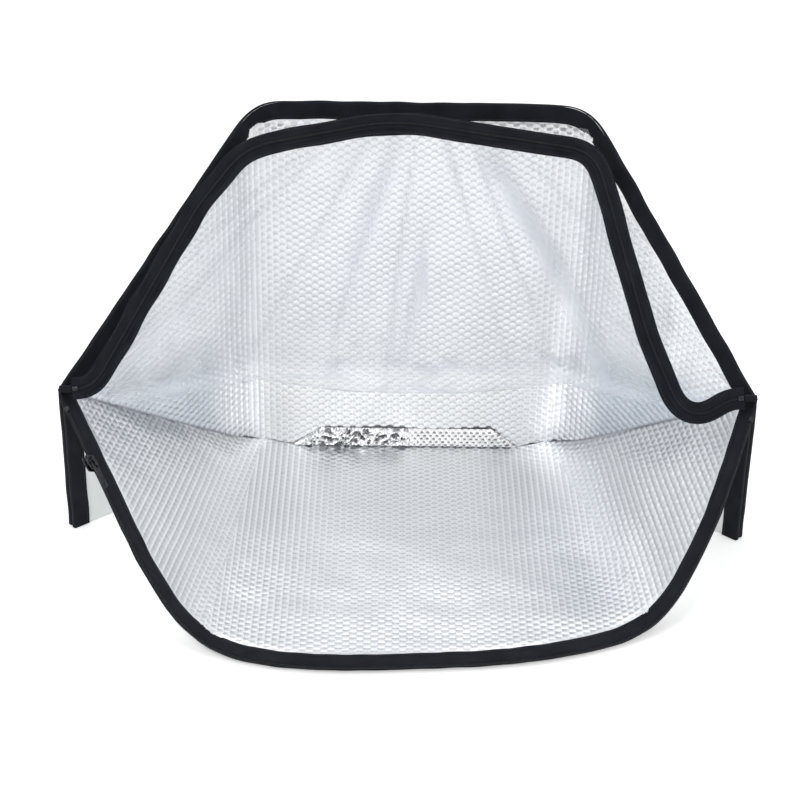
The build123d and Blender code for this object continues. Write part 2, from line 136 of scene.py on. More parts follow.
def fold_over(parent, start, end, normal):
    """Turn a panel's flat sheet coordinates about a crease, until it faces the normal."""
    axis = (end - start).normalized()
    was = (parent.to_3x3() @ Vector((0, 0, 1))).normalized()
    turn = math.atan2(axis.dot(was.cross(normal)), was.dot(normal))
    move = Matrix.Translation(start)
    return move @ Matrix.Rotation(turn, 4, axis) @ move.inverted() @ parent


def panel_normal(a, b, c):
    """Unit normal of a panel that looks into the oven."""
    normal = (b - a).cross(c - a).normalized()
    return normal if normal.dot(Vector((0, 0, 0.2)) - a) > 0 else -normal


def sheet_panel(name, lay, outline, edges, depth, step, relief, seed, billow, sheen=None, slant=0.0):
    """One panel of the sheet as a fine grid, trimmed to its outline.

    outline: its corners in space. edges: for each side, None where a ribbon binds
    it, or (neighbour's normal, reach) where it is a crease, rounded over that reach.
    light and shade: place by place, how strongly the painted seam highlights show and how far painted shade
    darkens the foil.
    slant: angle between the bubble rows and the panel's own length."""
    to_flat = lay.inverted()
    corners = np.array([tuple(to_flat @ p)[:2] for p in outline])
    ahead = np.roll(corners, -1, 0)
    turning = ahead - corners
    side = 1 if np.sum(corners[:, 0] * ahead[:, 1] - corners[:, 1] * ahead[:, 0]) > 0 else -1
    inward = side * np.stack((-turning[:, 1], turning[:, 0]), 1)
    inward = inward / np.linalg.norm(turning, axis=1)[:, None]
    low, high = np.floor(corners.min(0) / step), np.ceil(corners.max(0) / step)
    us, vs = np.arange(low[0], high[0] + 1) * step, np.arange(low[1], high[1] + 1) * step
    u, v = (g.ravel() for g in np.meshgrid(us, vs, indexing="ij"))

    def gaps():
        return np.stack([(u - c[0]) * n[0] + (v - c[1]) * n[1] for c, n in zip(corners, inward)])

    # Keep the squares that reach into the outline, and pull the rest of them onto it
    inside = gaps().min(0) > 0.12 * step
    quads = grid_faces(len(us), len(vs))
    quads = quads[inside[quads].any(1)]
    for _ in range(3):
        for row, n in enumerate(inward):
            out = np.minimum(gaps()[row], 0)
            u, v = u - n[0] * out, v - n[1] * out
    used = np.unique(quads)
    number = np.full(len(u), -1)
    number[used] = np.arange(len(used))
    u, v, quads = u[used], v[used], number[quads]

    gap = np.maximum(gaps(), 0)
    bound = [row for row, edge in enumerate(edges) if edge is None]
    creased = [row for row, edge in enumerate(edges) if edge is not None]
    # Sewn flat under the ribbon, and embossed from a little way inside it
    sewn_flat, emboss_rise, crease_calm = 0.8 * ribbon, 0.012, 0.03
    calm = np.clip((gap[bound].min(0) - sewn_flat) / emboss_rise, 0, 1)
    start = corners[0]
    row_u = start[0] + (u - start[0]) * math.cos(slant) - (v - start[1]) * math.sin(slant)
    row_v = start[1] + (v - start[1]) * math.cos(slant) + (u - start[0]) * math.sin(slant)
    height = relief(row_u, row_v) * calm
    swell = calm.copy()
    if creased:
        swell = np.minimum(swell, np.clip(gap[creased].min(0) / crease_calm, 0, 1))
    swell = swell * swell * (3 - 2 * swell)
    long_wave, short_wave = 0.16, 0.05
    height = height + billow * swell * sheet_waves(u, v, seed, long_wave)
    height = height + 0.25 * billow * swell * sheet_waves(u, v, seed + 1, short_wave)
    place = np.stack((u, v, height - depth), 1)
    shade = np.zeros_like(u)
    turn_back = lay.to_3x3().inverted()
    own = lay.to_3x3() @ Vector((0, 0, 1))
    butt_reach, dark_reach = 0.004, 0.0035
    for row in creased:
        neighbour, reach = edges[row]
        halfway = (own + neighbour).normalized()
        near = np.clip(1 - gap[row] / reach, 0, 1) ** 2 if reach else 0 * gap[row]
        pull = halfway * (reach / 2 * math.tan(own.angle(neighbour) / 2))
        if depth:
            pull = pull + (own + neighbour) * (-depth / (1 + own.dot(neighbour))) + own * depth
            near = near if reach else np.maximum(near, np.clip(1 - gap[row] / butt_reach, 0, 1))
        place = place + near[:, None] * np.array(turn_back @ pull)[None, :]
        # Painted shade: foil next to a sharp crease is marked to be painted dark.
        if reach == sharp_crease:
            shade = np.maximum(shade, np.clip(1 - gap[row] / dark_reach, 0, 1))
    turn = np.array(lay.to_3x3())
    points = place @ turn.T + np.array(lay.translation)
    if (side > 0) == (depth > 0):
        quads = quads[:, ::-1]
    piece = mesh_piece(name, points, quads, np.stack((row_u, row_v), 1))
    # The foil's painted seam highlights and painted shade, place by place.
    bright, dull_and_shade = sheen(points) if sheen else (0 * u, 0 * u)
    for label, values in (("crease", shade), ("embossed", calm), ("seams", bright * calm),
                          ("painted_shade", dull_and_shade)):
        mark(piece, label, values)
    return piece


def arc_from(start, heading, through, steps=9):
    """Points along the arc that leaves a point in a direction and ends at another."""
    chord = through - start
    off = (chord - heading * chord.dot(heading)).normalized()
    radius = chord.length_squared / (2 * chord.dot(off))
    centre = start + off * radius
    out, back = start - centre, through - centre
    swing = out.angle(back)
    return [centre + out * math.cos(swing * k / steps) + heading * (radius * math.sin(swing * k / steps))
            for k in range(steps + 1)]


def rounded_corner(front, other, fold, tip, radius):
    """A rounded corner folded across a crease: its arcs on the two sides of it."""
    along_front, along_side = (other - front).normalized(), (tip - front).normalized()
    along_crease = (fold - front).normalized()
    turn_side = along_crease.angle(along_side)
    half = (turn_side + along_crease.angle(along_front)) / 2
    back = radius / math.tan(half)
    swing = half - turn_side
    reach = radius / math.sin(half)
    short = math.sqrt(radius**2 - (reach * math.sin(swing)) ** 2)
    meet = front + along_crease * (reach * math.cos(swing) - short)
    return (arc_from(front + along_front * back, -along_front, meet),
            arc_from(front + along_side * back, -along_side, meet))


floor_arc_left, flap_arc_left = rounded_corner(front_left, front_right, fold_left, tip_left, 0.283)
floor_arc_right, flap_arc_right = rounded_corner(front_right, front_left, fold_right, tip_right, 0.400)
floor_lay = Matrix.Translation((0, 0, sheet_top))
floor_face, wall_face = Vector((0, 0, 1)), Vector((0, -1, 0))
flap_face_left = panel_normal(fold_left, tip_left, front_left)
flap_face_right = panel_normal(fold_right, tip_right, front_right)
wing_face_left = panel_normal(fold_left, tip_left, top_left)
wing_face_right = panel_normal(fold_right, tip_right, top_right)

floor_outline = [fold_right, fold_left] + floor_arc_left[::-1] + floor_arc_right
floor_edges = ([(wall_face, sharp_crease), (flap_face_left, soft_crease)]
               + [None] * (len(floor_outline) - 3) + [(flap_face_right, soft_crease)])


def eased(value, low, high):
    """0 below low, 1 above high and smooth between them."""
    share = np.clip((value - low) / (high - low), 0, 1)
    return share * share * (3 - 2 * share)


def floor_light_and_shade(points):
    """Painted seam highlights, stronger towards the two sides of the floor, and painted shade towards its
    right side.
    """
    x = points[:, 0]
    return 0.10 + 0.70 * eased(np.abs(x), 0.05, 0.14), 0.25 * eased(x, 0.06, 0.16)


def paint(name):
    """A new node material, its node tree and its shader."""
    material = bpy.data.materials.new(name)
    material.use_nodes = True
    tree = material.node_tree
    return material, tree, tree.nodes["Principled BSDF"]


def feed(node, **inputs):
    """Give a node's inputs, by name or as _number: a constant, or a link."""
    for key, value in inputs.items():
        socket = node.inputs[int(key[1:])] if key[0] == "_" else node.inputs[key.replace("_", " ")]
        if isinstance(value, bpy.types.NodeSocket):
            node.id_data.links.new(value, socket)
        else:
            socket.default_value = value


def wire(tree, kind, settings=None, **inputs):
    """Add a node with its settings and inputs."""
    node = tree.nodes.new(kind)
    for key, value in (settings or {}).items():
        setattr(node, key, value)
    feed(node, **inputs)
    return node


def reckon(tree, operation, *values, **settings):
    """One sum, product or fraction."""
    numbered = {f"_{k}": value for k, value in enumerate(values)}
    return wire(tree, "ShaderNodeMath", {"operation": operation, **settings}, **numbered).outputs[0]


def cloth_spot(tree):
    """Place on the flat cloth."""
    return wire(tree, "ShaderNodeUVMap", {"uv_map": "cloth"}).outputs["UV"]


def space_spot(tree):
    """Place in space."""
    return wire(tree, "ShaderNodeNewGeometry").outputs["Position"]


def blotches(tree, place, scale, detail, **more):
    """Soft random spots."""
    return wire(tree, "ShaderNodeTexNoise", Vector=place, Scale=scale, Detail=detail, **more).outputs["Fac"]


def threads(tree, way, place, scale, **more):
    """Even bands of woven thread."""
    return wire(tree, "ShaderNodeTexWave", {"bands_direction": way},
                Vector=place, Scale=scale, **more).outputs["Fac"]


def written(tree, label):
    """What is marked on the piece's points."""
    return wire(tree, "ShaderNodeAttribute", {"attribute_name": label}).outputs["Fac"]


def overlay(tree, share, under, over, way="MIX"):
    """One colour laid over another."""
    return wire(tree, "ShaderNodeMix", {"data_type": "RGBA", "blend_type": way},
                _0=share, _6=under, _7=over).outputs[2]


def bumps(tree, height, strength, distance):
    """Fine relief."""
    return wire(tree, "ShaderNodeBump", Height=height, Strength=strength, Distance=distance).outputs["Normal"]


def shades(tree, fac, *stops):
    """A colour ramp with stops of (position, colour)."""
    ramp = wire(tree, "ShaderNodeValToRGB", Fac=fac)
    while len(ramp.color_ramp.elements) < len(stops):
        ramp.color_ramp.elements.new(0.5)
    for element, (position, colour) in zip(ramp.color_ramp.elements, stops):
        element.position = position
        element.color = (*colour, 1)
    return ramp.outputs["Color"]


foil_metal, tree, shader = paint("foil_metal")
place = cloth_spot(tree)
fine = blotches(tree, place, 420.0, 3.0)
silver = shades(tree, blotches(tree, place, 9.0, 2.0),
                (0.3, (0.95, 0.957, 0.965)), (0.7, (0.99, 0.993, 0.996)))
flat_place = wire(tree, "ShaderNodeSeparateXYZ", Vector=place)
column = reckon(tree, "DIVIDE", flat_place.outputs["X"], bubble_across)
across = reckon(tree, "FRACT", column)
off_middle = reckon(tree, "POWER", reckon(tree, "ABSOLUTE", reckon(tree, "SUBTRACT", across, 0.5)), 2.0)
stagger = reckon(tree, "MULTIPLY", reckon(tree, "FLOOR", column), 0.5)
along = reckon(tree, "ADD", reckon(tree, "DIVIDE", flat_place.outputs["Y"], bubble_along), stagger)
arched = reckon(tree, "FRACT", reckon(tree, "ADD", along, reckon(tree, "MULTIPLY", off_middle, 0.9)))
# Painted highlight and shade of the relief: each bubble is painted bright on one side and dark in the groove
# beyond it, and each seam as a bright line with a dark band beside it.
bright, groove_shade = (1.0, 1.0, 1.0), (0.60, 0.61, 0.63)
dome_highlight_and_shade = shades(tree, arched, (0.02, groove_shade), (0.22, (0.80, 0.81, 0.82)), (0.50, (0.92, 0.925, 0.93)),
               (0.72, bright), (0.92, bright), (0.98, groove_shade))
seam_highlight_and_shade = shades(tree, across, (0.10, bright), (0.20, groove_shade), (0.42, (0.70, 0.71, 0.72)),
                (0.78, (0.84, 0.85, 0.86)), (0.90, bright))
speckle = shades(tree, fine, (0.36, (0.93, 0.935, 0.94)), (0.50, bright))
rows = overlay(tree, written(tree, "seams"), dome_highlight_and_shade, seam_highlight_and_shade)
rows = overlay(tree, 1.0, rows, speckle, "MULTIPLY")
rows = overlay(tree, written(tree, "embossed"), (0.93, 0.935, 0.94, 1), rows)
silver_with_painted_relief = overlay(tree, 1.0, silver, rows, "MULTIPLY")
# Painted shade over the parts of each panel marked as shaded.
shaded_by_region = overlay(tree, written(tree, "painted_shade"), silver_with_painted_relief, (0.47, 0.505, 0.55, 1))
# Painted shade: a dark line along each sharp crease.
wear_and_crease_shade = overlay(tree, written(tree, "crease"), shaded_by_region, (0.30, 0.31, 0.34, 1))
dull_and_shade = shades(tree, blotches(tree, place, 60.0, 4.0), (0.3, (0.30,) * 3), (0.75, (0.40,) * 3))
feed(shader, Base_Color=wear_and_crease_shade, Roughness=dull_and_shade, Metallic=1.0, Normal=bumps(tree, fine, 0.38, 0.0003))

outer_weave, tree, shader = paint("outer_weave")
place = cloth_spot(tree)
warp, weft = (threads(tree, way, place, 390.0) for way in "XY")
tone = shades(tree, blotches(tree, place, 14.0, 3.0), (0.3, (0.76, 0.79, 0.785)), (0.7, (0.83, 0.855, 0.85)))
feed(shader, Base_Color=tone, Roughness=0.7, Sheen_Weight=0.15,
     Normal=bumps(tree, reckon(tree, "MULTIPLY", warp, weft), 0.5, 0.0002))


def dress(piece, material, slot, *nodes, body="oven"):
    """Give a piece its material and its body, and hide the CAD nodes that it stands for. Its slot is not
    used.
    """
    piece.data.materials.append(material)
    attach(piece, body)
    if nodes:
        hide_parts(*nodes)


def flat_area(lay, outline):
    """Area of a panel's outline, in square metres."""
    flat = [lay.inverted() @ p for p in outline]
    return abs(sum(a.x * b.y - a.y * b.x for a, b in zip(flat, flat[1:] + flat[:1]))) / 2


def foil_lining(panel, lay, outline, edges, seed, billow, sheen, slant=0.0):
    """The bubble foil of a panel."""
    piece = sheet_panel(f"{panel}_foil", lay, outline, edges, 0, foil_step, bubble_relief,
                        seed, billow, sheen, slant)
    dress(piece, foil_metal, "foil", f"{panel}_foil_lining")
    return piece


def outer_cloth(panel, lay, outline, edges, seed, billow):
    """The pale cloth behind a panel's foil."""
    piece = sheet_panel(f"{panel}_cloth", lay, outline, edges, sheet_depth, cloth_step, flat_cloth,
                        seed, billow)
    dress(piece, outer_weave, "outer_cloth", f"{panel}_outer_cloth")
    return piece


floor_foil = foil_lining("floor", floor_lay, floor_outline, floor_edges, 11, 0.0011, floor_light_and_shade)
floor_cloth = outer_cloth("floor", floor_lay, floor_outline, floor_edges, 11, 0.0003)

# Back wall panel
# The rear part of the sheet, folded up along the straight fold at the back of
# the floor. Its bubble rows run on up from the floor's.
wall_lay = fold_over(floor_lay, fold_left, fold_right, wall_face)
wall_arc_left, wing_arc_left = rounded_corner(top_left, top_right, fold_left, tip_left, 0.065)
wall_arc_right, wing_arc_right = rounded_corner(top_right, top_left, fold_right, tip_right, 0.065)
wall_outline = [fold_left, fold_right] + wall_arc_right[::-1] + wall_arc_left
wall_edges = ([(floor_face, sharp_crease), (wing_face_right, side_crease)]
              + [None] * (len(wall_outline) - 3) + [(wing_face_left, side_crease)])


def wall_light_and_shade(points):
    """Painted seam highlights, stronger near the two upright creases; the wall gets no painted shade."""
    return 0.55 * eased(np.abs(points[:, 0]), 0.11, 0.155), 0 * points[:, 0]


wall_foil = foil_lining("back_wall", wall_lay, wall_outline, wall_edges, 23, 0.0013, wall_light_and_shade)
wall_cloth = outer_cloth("back_wall", wall_lay, wall_outline, wall_edges, 23, 0.0006)

# Wings
# The two sides that rise between the back wall and the pinched corners. The
# cloth runs on behind the base flap as the back leaf of the pinched corner.
foot_left, foot_right = Vector((tip_left.x, 0, 0)), Vector((tip_right.x, 0, 0))
heel_height = 0.0012
for foot, fold, face in ((foot_left, fold_left, wing_face_left), (foot_right, fold_right, wing_face_right)):
    foot.y = fold.y - (face.x * (foot.x - fold.x) + face.z * (0 - fold.z)) / face.y
wing_sides = (
    ("left", fold_left, tip_left, foot_left, wing_face_left, 31, flap_face_left, top_left, wing_arc_left),
    ("right", fold_right, tip_right, foot_right, wing_face_right, 37, flap_face_right, top_right,
     wing_arc_right),
)
wing_lay = {}


def wing_light_and_shade(points):
    """Painted seam highlights beside the wall, and painted shade on the low part near the base flap, more on
    the right wing.
    """
    x, z = np.abs(points[:, 0]), points[:, 2]
    beside = 1 - eased(x, 0.185, 0.215)
    low = 1 - eased(z, 0.115, 0.19)
    right = np.where(points[:, 0] > 0, 1.0, 0.85)
    return 0.25 + 0.65 * beside, low * (right - 0.75 * beside)


for side, fold, tip, foot, wing_face, seed, flap_face, top, arc in wing_sides:
    heel = Vector((fold.x, fold.y, heel_height))
    lay = wing_lay[side] = fold_over(wall_lay, fold, top, wing_face)
    rounded = [None] * len(arc) + [(wall_face, side_crease)]
    upper = foil_lining(f"{side}_wing", lay, [fold, tip] + arc,
                        [(flap_face, sharp_crease)] + rounded, seed, 0.0013, wing_light_and_shade)
    lower = sheet_panel(f"{side}_back_leaf_foil", lay, [heel, foot, tip, fold],
                        [None, None, (wing_face, 0), (wing_face, 0)],
                        0.0004, foil_step, lambda u, v: 0.6 * bubble_relief(u, v), seed, 0)
    dress(lower, foil_metal, "foil", f"{side}_wing_foil_lining")
    outer = outer_cloth(f"{side}_wing", lay, [heel, foot, tip] + arc, [None, None] + rounded,
                        seed, 0.0006)

# Base flaps
# The two low sides of the base, folded up from the floor and rounded at the
# front, where the rim binding turns into the front edge.
flap_sides = (
    ("left", fold_left, tip_left, flap_arc_left, flap_face_left, wing_face_left, 41, 9),
    ("right", fold_right, tip_right, flap_arc_right, flap_face_right, wing_face_right, 43, -4),
)


def flap_light_and_shade(points):
    """Painted seam highlights all over the flap, least of all next to the floor, and painted shade on the
    right flap next to the floor.
    """
    x = points[:, 0]
    beyond = np.abs(x) - 0.165
    dull_and_shade = np.where(x > 0, 0.35 * (1 - eased(beyond, 0.02, 0.10)), 0)
    return 0.45 + 0.55 * eased(beyond, 0.02, 0.07), dull_and_shade


for side, fold, tip, arc, flap_face, wing_face, seed, row_slant in flap_sides:
    lay = fold_over(floor_lay, fold, arc[-1], flap_face)
    outline = [fold, tip] + arc
    edges = [(wing_face, sharp_crease)] + [None] * (len(outline) - 2) + [(floor_face, soft_crease)]
    foil = foil_lining(f"{side}_flap", lay, outline, edges, seed, 0.0014, flap_light_and_shade,
                       math.radians(row_slant))
    under = outer_cloth(f"{side}_flap", lay, outline, [None] * (len(outline) - 1) + edges[-1:],
                        seed, 0.0006)
    area = flat_area(lay, outline)

# Front leaves
# The half of each pinched corner that hangs below the base flap, foil to foil
# with the back leaf. Its pale cloth shows between the leg and the base rim.
leaf_step = 0.003
for side, fold, tip, foot, wing_face, seed, flap_face, *_ in wing_sides:
    step = wing_face * leaf_step
    # The cloth hangs from the flap's underside, clear of the flap itself
    drop = flap_face * -(sheet_depth + 0.0016)
    heel = Vector((fold.x, fold.y, heel_height)) + step
    out = foot + step
    up = (tip - foot).normalized()

    def under_flap(point, direction):
        """Where a line in the leaf meets the underside of the flap."""
        rest = (fold + drop - point).dot(flap_face) / direction.dot(flap_face)
        return point + direction * rest

    upper = under_flap(out, up)
    inner = under_flap(out, (heel - out).normalized())
    leaf_lay = Matrix.Translation(step) @ fold_over(wing_lay[side], fold, tip, -wing_face)
    area = (inner - out).cross(upper - out).length / 2
    for kind, depth, pace, slot, finish, node in (
            ("foil", 0.0003, bubble_across / 3, "foil", foil_metal, "leaf_foil_lining"),
            ("cloth", sheet_depth, cloth_step, "outer_cloth", outer_weave, "leaf_outer_cloth")):
        piece = sheet_panel(f"{side}_front_leaf_{kind}", leaf_lay, [inner, out, upper], [None] * 3,
                            depth, pace, flat_cloth, seed, 0.0004)
        dress(piece, finish, slot, f"{side}_{node}")

# Back rim binding
# One dark woven tape, folded over the cut edge of the wall and the wings and
# sewn through near its inner edge.
overrun = 2 * ribbon        # how far a rim's line runs on past a corner, where it is cut
stitch_pitch, stitch_half = 0.0036, 0.0013
stitch_row = -0.0145
thread_wide, thread_high, thread_sides = 0.00034, 0.0003, 6
tape_inside, tape_outside = -0.0052, 0.0012


def rounded_line(corners, closed=False, steps=4):
    """A line of straight runs (x, y, radius) with its corners rounded off."""
    spots = [np.array(corner[:2], dtype=float) for corner in corners]
    line = []
    for k, (here, radius) in enumerate(zip(spots, [corner[2] for corner in corners])):
        if radius == 0 or (not closed and k in (0, len(corners) - 1)):
            line.append(here)
            continue
        back, on = spots[k - 1] - here, spots[(k + 1) % len(spots)] - here
        back, on = back / np.linalg.norm(back), on / np.linalg.norm(on)
        half = math.acos(np.clip(back @ on, -1, 1)) / 2
        centre = here + (back + on) / np.linalg.norm(back + on) * radius / math.sin(half)
        first = here + back * radius / math.tan(half) - centre
        last = here + on * radius / math.tan(half) - centre
        swing = math.pi - 2 * half
        for share in np.arange(steps + 1) / steps:
            bent = first * math.sin((1 - share) * swing) + last * math.sin(share * swing)
            line.append(centre + bent / math.sin(swing))
    return np.array(line)


def soften(rows, reach):
    """Running mean along a line, which leaves its straight runs straight."""
    wide = np.pad(rows, ((reach, reach), (0, 0)), mode="reflect", reflect_type="odd")
    return sum(wide[k:k + len(rows)] for k in range(2 * reach + 1)) / (2 * reach + 1)


def along_line(spots):
    """Distance of each point from the start of its line."""
    return np.concatenate(([0], np.cumsum(np.linalg.norm(np.diff(spots, axis=0), axis=1))))


def spread_out(here, rows, at=None):
    """Rows in space, read off at other distances from the start of their line."""
    at = along_line(rows) if at is None else at
    return np.stack([np.interp(here, at, rows[:, k]) for k in range(3)], 1)


def edge_line(runs, inside, spacing=0.004, reach=2):
    """An edge of the sheet as rows: its points, the way out of the sheet, its face.

    runs: (points, face) of each panel that the edge passes."""
    spots, faces = [], []
    for points, face in runs:
        points = np.array([tuple(p) for p in points])
        length = along_line(points)[-1]
        at = np.linspace(0, length, max(2, round(length / spacing) + 1))[1 if spots else 0:]
        spots.append(spread_out(at, points))
        faces.append(np.tile(np.array(tuple(face)), (len(at), 1)))
    spots, faces = soften(np.concatenate(spots), reach), soften(np.concatenate(faces), reach)
    heading = np.gradient(spots, axis=0)
    out = np.cross(heading, faces)
    out /= np.linalg.norm(out, axis=1)[:, None]
    if np.sum(out * (spots - np.array(inside))) < 0:
        out = -out
    up = np.cross(heading, out)
    up /= np.linalg.norm(up, axis=1)[:, None]
    return spots, out, up * np.sign(np.sum(up * faces))


def stretch(line, begin, finish, spacing):
    """Part of an edge between two distances from its start."""
    here = np.linspace(begin, finish, max(2, round((finish - begin) / spacing) + 1))
    return tuple(spread_out(here, rows, along_line(line[0])) for rows in line)


def section_ring(low_out, high_out, low_up, high_up, inner, outer):
    """Cross-section of a flat tape, rounded more at its outer edge."""
    return rounded_line([(low_out, low_up, inner), (high_out, low_up, outer),
                         (high_out, high_up, outer), (low_out, high_up, inner)], closed=True)


def closed_up(piece, cuts=()):
    """Trim a closed piece to the kept side of each cut, and shut its ends."""
    shape = bmesh.new()
    shape.from_mesh(piece.data)
    for spot, kept in cuts:
        bmesh.ops.bisect_plane(shape, geom=shape.verts[:] + shape.edges[:] + shape.faces[:],
                               plane_co=spot, plane_no=-Vector(kept), clear_outer=True)
        rim = [edge for edge in shape.edges if edge.is_boundary]
        bmesh.ops.holes_fill(shape, edges=rim, sides=0)
    bmesh.ops.recalc_face_normals(shape, faces=shape.faces[:])
    shape.to_mesh(piece.data)
    shape.free()
    piece.data.set_sharp_from_angle(angle=math.radians(52))
    return piece


def tube_faces(count, size, base=0):
    """Faces round a row of equal rings, with an end face on the first and the last."""
    first = np.arange(count - 1)[:, None] * size
    k, after = np.arange(size)[None, :], (np.arange(size) + 1)[None, :] % size
    quads = np.stack((first + k, first + after, first + size + after, first + size + k), -1)
    ends = [list(range(base, base + size)), list(range(base + (count - 1) * size, base + count * size))]
    return (base + quads).reshape(-1, 4).tolist() + ends


def tape(name, line, ring, cuts=(), ripple=0.0003, seed=0):
    """A soft strip: its cross-section carried along an edge."""
    spots, out, up = line
    at = along_line(spots)
    sway = ripple * sheet_waves(at, 0 * at, seed, 0.045)[:, None, None]
    lift = 0.7 * ripple * sheet_waves(at, 0 * at, seed + 1, 0.03)[:, None, None]
    count, size = len(spots), len(ring)
    place = (spots[:, None] + out[:, None] * (ring[None, :, :1] + sway)
             + up[:, None] * (ring[None, :, 1:] + lift))
    uvs = np.stack(np.broadcast_arrays(at[:, None], along_line(ring)[None, :]), -1)
    strip = mesh_piece(name, place.reshape(-1, 3), tube_faces(count, size), uvs.reshape(-1, 2))
    return closed_up(strip, cuts)


def stitches(name, line, rows, cuts=()):
    """Short raised stitches of thread along an edge, each row (out, up)."""
    middles = np.arange(stitch_pitch / 2, along_line(line[0])[-1], stitch_pitch)
    verts, faces = [], []
    for row_out, row_up in rows:
        for middle in middles:
            piece = stretch(line, middle - stitch_half, middle + stitch_half, stitch_half)
            centre = Vector(piece[0][1] + piece[1][1] * row_out + piece[2][1] * row_up)
            if any((centre - Vector(spot)).dot(Vector(kept)) < 0.002 for spot, kept in cuts):
                continue
            faces += tube_faces(3, thread_sides, len(verts))
            for spot, o, u, size in zip(*piece, (0.35, 1.0, 0.35)):
                heart = spot + o * row_out + u * row_up
                for turn in np.arange(thread_sides) * math.pi / 3:
                    verts.append(heart + size * (o * (thread_wide * math.cos(turn))
                                                 + u * (thread_high * math.sin(turn))))
    return closed_up(mesh_piece(name, verts, faces, np.zeros((len(verts), 2))))


dark_ribbon, tree, shader = paint("dark_ribbon")
place = cloth_spot(tree)
weave = reckon(tree, "MULTIPLY", threads(tree, "X", place, 420.0),
               threads(tree, "Y", place, 260.0, Phase_Offset=1.6))
mixed = reckon(tree, "MULTIPLY_ADD", weave, 0.35, blotches(tree, place, 35.0, 4.0))
tone = shades(tree, mixed, (0.35, (0.0045, 0.0055, 0.0080)), (0.85, (0.0130, 0.0155, 0.0210)))
feed(shader, Base_Color=tone, Roughness=0.8, Specular_IOR_Level=0.12, Sheen_Weight=0.02,
     Normal=bumps(tree, weave, 0.6, 0.0002))

thread_dark, tree, shader = paint("thread_dark")
twist = blotches(tree, space_spot(tree), 900.0, 2.0)
tone = shades(tree, twist, (0.3, (0.006, 0.007, 0.011)), (0.7, (0.017, 0.019, 0.026)))
feed(shader, Base_Color=tone, Roughness=0.55)

ribbon_ring = section_ring(-ribbon, 0.0012, tape_inside, tape_outside, 0.0005, 0.0022)
uphill = {"left": (top_left - tip_left).normalized(), "right": (top_right - tip_right).normalized()}
rim_runs = [([tip_left - uphill["left"] * overrun] + wing_arc_left, wing_face_left),
            (wall_arc_left[::-1] + wall_arc_right, wall_face),
            (wing_arc_right[::-1] + [tip_right - uphill["right"] * overrun], wing_face_right)]
back_line = edge_line(rim_runs, (0, wall_plane, 0.2), reach=5)
# At a corner the rim's tape and the leg's are cut where their directions meet halfway
tip_cuts = {}
for side, _, tip, foot, wing_face, *_ in wing_sides:
    halfway = (uphill[side] + (foot - tip).normalized()).normalized()
    across = halfway.cross(wing_face)
    tip_cuts[side] = (tip, across if across.dot(uphill[side]) > 0 else -across)
back_cuts = [tip_cuts["left"], tip_cuts["right"]]
back_binding = tape("back_rim_binding", back_line, ribbon_ring, back_cuts, 0.0004, 61)
back_thread = stitches("back_rim_stitches", back_line,
                       ((stitch_row, tape_outside), (stitch_row, tape_inside)), back_cuts)
dress(back_binding, dark_ribbon, "binding",
      "back_rim_top_binding", "left_back_rim_binding", "right_back_rim_binding")
dress(back_thread, thread_dark, "binding")

# Leg bindings
# The same tape down the two open edges of each pinched corner. The oven stands
# on their cut ends, and the front one stops below the base flap.
ground_cut = ((0, 0, 0), (0, 0, 1))
for side, fold, tip, foot, wing_face, seed, flap_face, *_ in wing_sides:
    down = (foot - tip).normalized()
    spot, kept = tip_cuts[side]
    roof = (fold - flap_face * (sheet_depth + 0.0015), -flap_face)
    for place, shift, face, cuts in (
            ("back", Vector(), wing_face, [(spot, -kept), ground_cut]),
            ("front", wing_face * leaf_step, -wing_face, [roof, ground_cut])):
        run = [tip - down * overrun + shift, foot + down * overrun + shift]
        line = edge_line([(run, face)], fold)
        binding = tape(f"{side}_leg_{place}_binding", line, ribbon_ring, cuts, 0.0003, seed + 5)
        thread = stitches(f"{side}_leg_{place}_stitches", line, ((stitch_row, tape_inside),), cuts)
        dress(binding, dark_ribbon, "binding", f"{side}_leg_{place}_binding")
        dress(thread, thread_dark, "binding")

# Corner patches
# A hook strip and a loop strip inside each pinched corner hold its two leaves
# together. They are woven tape with a nap, sewn on flat.
nap_tape, tree, shader = paint("nap_tape")
tufts = wire(tree, "ShaderNodeTexVoronoi", Vector=space_spot(tree), Scale=900.0).outputs["Distance"]
tone = shades(tree, tufts, (0.1, (0.022, 0.023, 0.027)), (0.6, (0.008, 0.009, 0.011)))
feed(shader, Base_Color=tone, Roughness=0.85, Normal=bumps(tree, tufts, 0.8, 0.0006))
patch_up, patch_half_long, patch_half_wide = 0.068, 0.0295, 0.0108
for side, fold, tip, foot, wing_face, seed, *_ in wing_sides:
    leg = (tip - foot).normalized()
    inward = (fold - foot) - leg * (fold - foot).dot(leg)
    middle = foot + leg * patch_up + inward.normalized() * (ribbon + 0.0113)
    line = edge_line([([middle - leg * patch_half_long, middle + leg * patch_half_long], wing_face)], tip)
    for kind, low, high in (("hook", 0.0001, 0.0015), ("loop", 0.0016, 0.0029)):
        ring = section_ring(-patch_half_wide, patch_half_wide, low, high, 0.0005, 0.0005)
        strip = tape(f"{side}_corner_{kind}_strip", line, ring, (), 0.0001, seed + 7)
        dress(strip, nap_tape, "hook_and_loop", f"{side}_corner_{kind}_patch")

